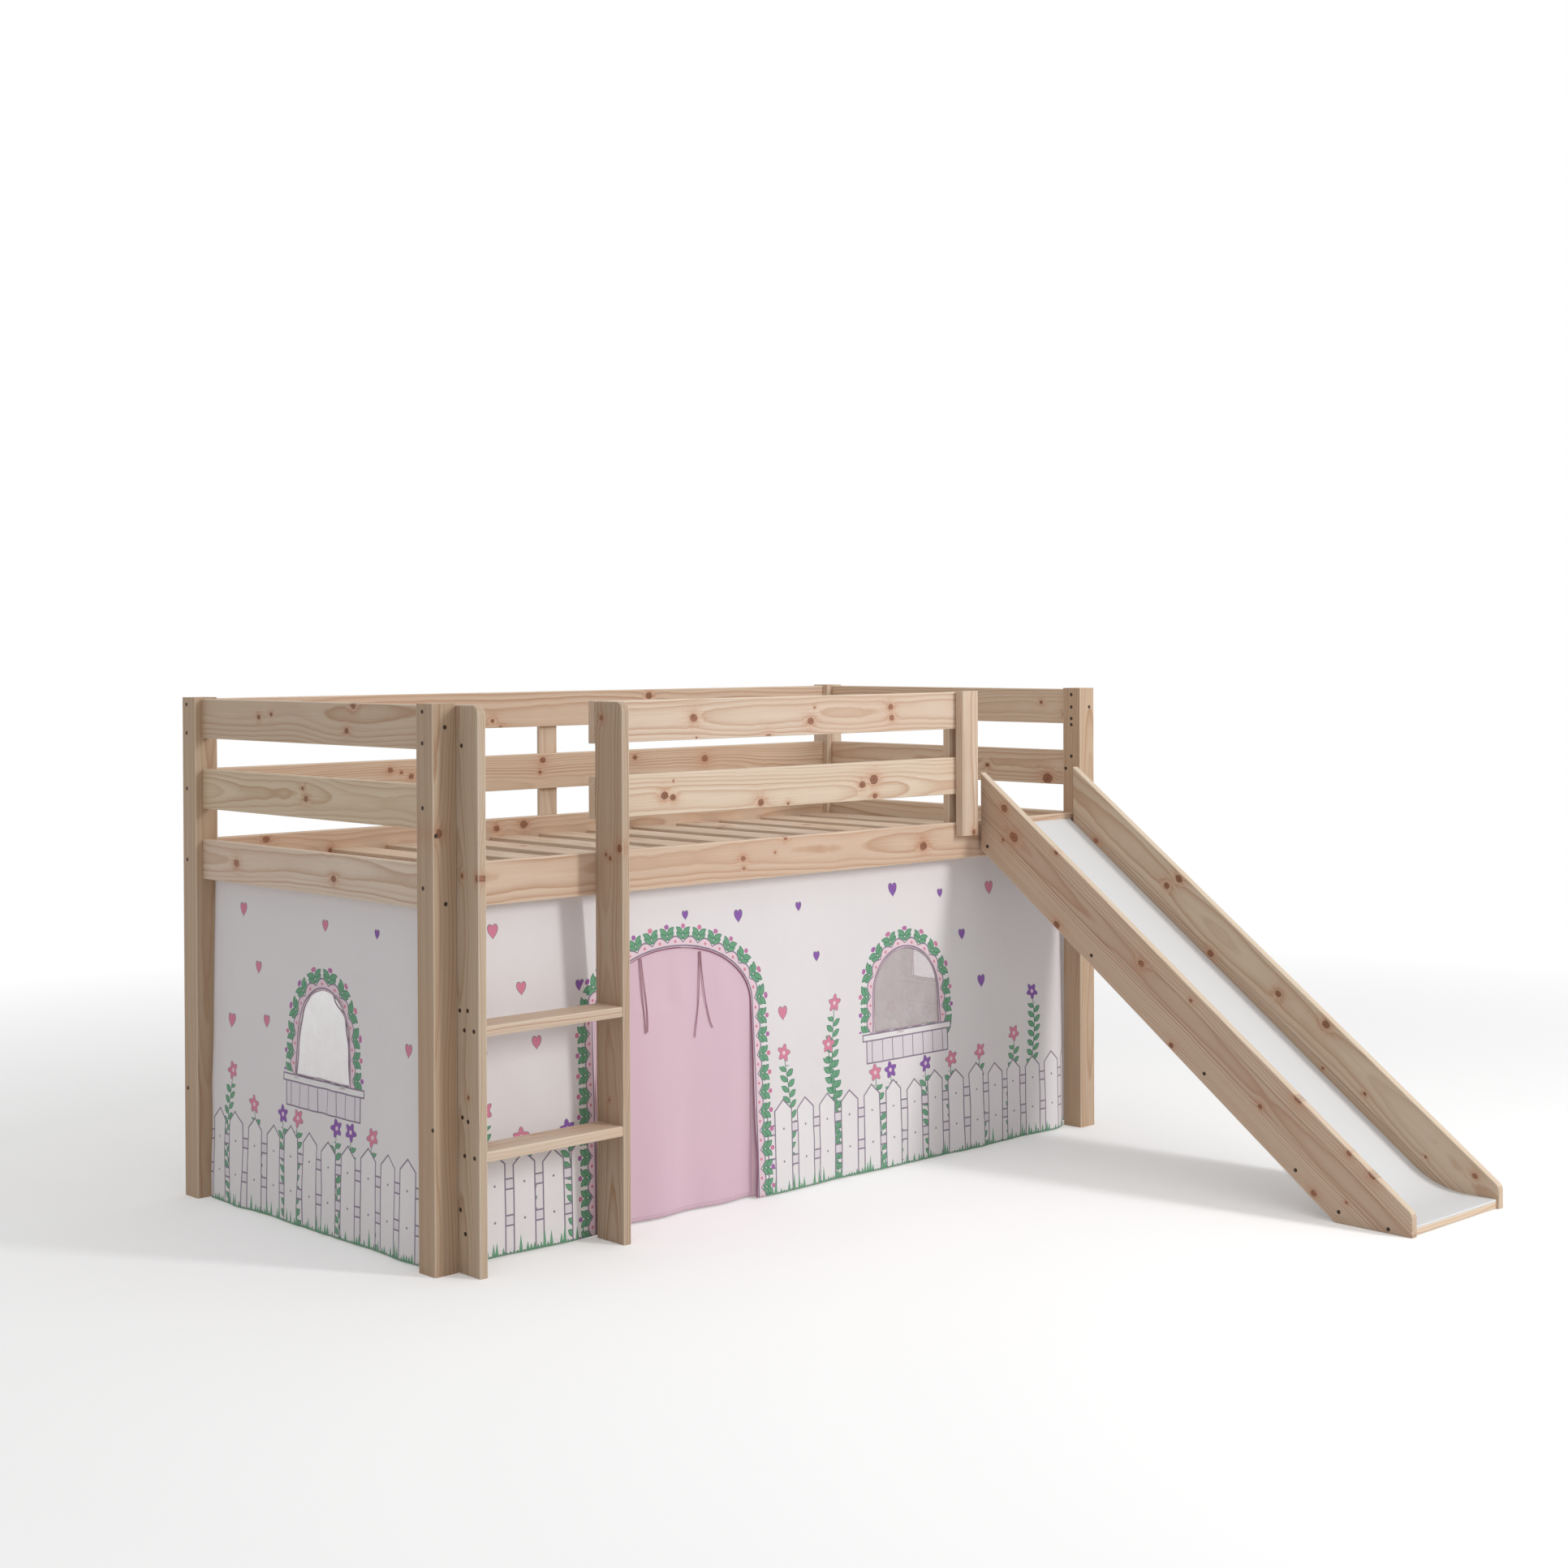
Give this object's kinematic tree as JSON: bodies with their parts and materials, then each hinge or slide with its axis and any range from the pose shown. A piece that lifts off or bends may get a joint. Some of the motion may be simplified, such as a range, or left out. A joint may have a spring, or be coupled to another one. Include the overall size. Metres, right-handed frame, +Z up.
{
  "type": "loft bed with slide",
  "caption": "Low pine loft bed for a single mattress, with a ladder, a guard rail, a straight slide and hung play curtains with a lifting cloth door.",
  "frame": {"origin": "on the floor, at the middle of the whole outline in plan, the slide included", "axes": "+X runs along the bed from the ladder's end to the slide's end, +Y from the ladder side to the open back, +Z up"},
  "size_m": [2.088, 2.17, 1.14],
  "materials": {
    "pine": "sanded solid pine with a thin clear lacquer, knots and long grain",
    "white_laminate": "smooth satin white laminate on thin board",
    "printed_cotton": "plain-woven off-white cotton with a printed garden design",
    "pink_cotton": "plain-woven dusty pink cotton",
    "clear_sheet": "thin clear flexible sheet, slightly cloudy",
    "tie_tape": "narrow dark pink cotton tape"
  },
  "bodies": {
    "bed": {"front_left_post": "pine", "back_left_post": "pine", "front_right_post": "pine", "back_right_post": "pine", "lower_left_end_board": "pine", "lower_right_end_board": "pine", "lower_back_board": "pine", "middle_left_end_board": "pine", "middle_right_end_board": "pine", "middle_back_board": "pine", "upper_left_end_board": "pine", "upper_right_end_board": "pine", "upper_back_board": "pine", "back_batten": "pine", "front_side_board": "pine", "middle_guard_board": "pine", "upper_guard_board": "pine", "guard_outer_batten": "pine", "guard_inner_batten": "pine", "front_slat_ledge": "pine", "back_slat_ledge": "pine", "slat_1": "pine", "slat_2": "pine", "slat_3": "pine", "slat_4": "pine", "slat_5": "pine", "slat_6": "pine", "slat_7": "pine", "slat_8": "pine", "slat_9": "pine", "slat_10": "pine", "slat_11": "pine", "slat_12": "pine", "slat_13": "pine", "left_ladder_stile": "pine", "right_ladder_stile": "pine", "ladder_tread_1": "pine", "ladder_tread_2": "pine", "left_slide_plank": "pine", "right_slide_plank": "pine", "slide_surface": "white_laminate", "slide_cross_bar_1": "pine", "slide_cross_bar_2": "pine", "slide_cross_bar_3": "pine", "slide_cross_bar_4": "pine", "slide_cross_bar_5": "pine", "slide_foot_bar": "pine", "front_curtain": "printed_cotton", "left_end_curtain": "printed_cotton", "right_end_curtain": "printed_cotton", "front_window_pane": "clear_sheet", "left_window_pane": "clear_sheet", "right_window_pane": "clear_sheet", "door_head": "pink_cotton", "left_tie_front": "tie_tape", "left_tie_back": "tie_tape", "right_tie_front": "tie_tape", "right_tie_back": "tie_tape"},
    "door": {"door_flap": "pink_cotton"}
  },
  "joints": [
    {"name": "door_lift", "type": "hinge", "parent": "bed", "child": "door", "pos_m": [-0.3725, 0.15083, 0.449], "axis": [1, 0, 0], "range_deg": [0, 80]}
  ]
}
